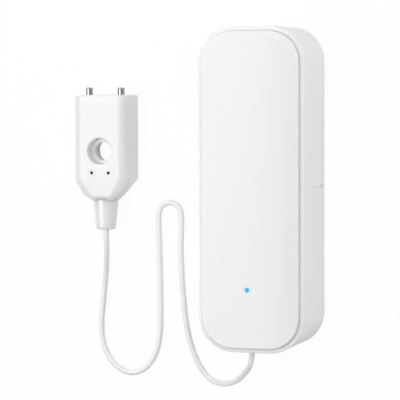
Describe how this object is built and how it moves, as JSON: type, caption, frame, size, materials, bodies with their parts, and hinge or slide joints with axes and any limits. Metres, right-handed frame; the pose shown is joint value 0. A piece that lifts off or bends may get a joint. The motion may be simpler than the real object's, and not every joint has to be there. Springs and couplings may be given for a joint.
{
  "type": "water leak sensor",
  "caption": "Slim white battery-powered water leak sensor with a raised front panel, blue status light and slide-off battery cover, wired to a pin probe with a screw hole.",
  "frame": {"origin": "middle of the unit's back face, on the surface that the unit and the probe lie on", "axes": "+Z out of the front panel, +Y towards the unit's top end, +X towards the unit's right side; the probe lies at -X"},
  "size_m": [0.0893, 0.1257, 0.0291],
  "materials": {
    "panel_abs": "moulded white ABS, satin",
    "housing_abs": "moulded white ABS, fine matt grain",
    "light_pipe_acrylic": "clear acrylic, lit blue",
    "board_laminate": "green solder mask on glass-fibre laminate",
    "module_laminate": "blue solder mask on glass-fibre laminate",
    "shield_tinplate": "drawn tinplate",
    "led_resin": "clear resin on white",
    "switch_nylon": "black nylon",
    "button_abs": "grey ABS",
    "connector_nylon": "natural nylon",
    "lead_pvc": "soft PVC insulation",
    "cell_jacket": "printed film jacket, plain",
    "spring_nickel": "nickel-plated spring wire",
    "contact_nickel": "nickel-plated strip",
    "screw_steel": "zinc-plated steel",
    "grommet_pvc": "soft white PVC",
    "cable_pvc": "soft white PVC",
    "boot_pvc": "soft white PVC",
    "probe_abs": "moulded white ABS, satin",
    "pin_nickel": "nickel-plated brass, turned",
    "resin_epoxy": "black potting resin"
  },
  "bodies": {
    "sensor": {"front_cover": "panel_abs", "light_pipe": "light_pipe_acrylic", "rear_housing": "housing_abs", "main_board": "board_laminate", "wifi_module": "module_laminate", "module_shield": "shield_tinplate", "status_led": "led_resin", "pairing_switch": "switch_nylon", "cable_header": "connector_nylon", "lead_plug": "connector_nylon", "inner_leads": "lead_pvc", "battery_left": "cell_jacket", "battery_right": "cell_jacket", "spring_left": "spring_nickel", "spring_right": "spring_nickel", "contact_plate_positive": "contact_nickel", "contact_plate_negative": "contact_nickel", "bridge_contact": "contact_nickel", "housing_screws": "screw_steel", "board_screws": "screw_steel", "cable_grommet": "grommet_pvc", "probe_cable": "cable_pvc", "cable_boot": "boot_pvc", "probe_shell": "probe_abs", "probe_back_plate": "probe_abs", "contact_pin_left": "pin_nickel", "contact_pin_right": "pin_nickel", "probe_board": "board_laminate", "probe_leads": "lead_pvc", "potting_resin": "resin_epoxy"},
    "battery_cover": {"battery_cover": "housing_abs"},
    "pairing_button": {"pairing_button": "button_abs"}
  },
  "joints": [
    {"name": "battery_cover_slide", "type": "slide", "parent": "sensor", "child": "battery_cover", "axis": [0, 1, 0], "range_m": [0, 0.056]},
    {"name": "pairing_press", "type": "slide", "parent": "sensor", "child": "pairing_button", "axis": [0, 0, 1], "range_m": [0, 0.0003], "stiffness_N_per_m": 300}
  ]
}
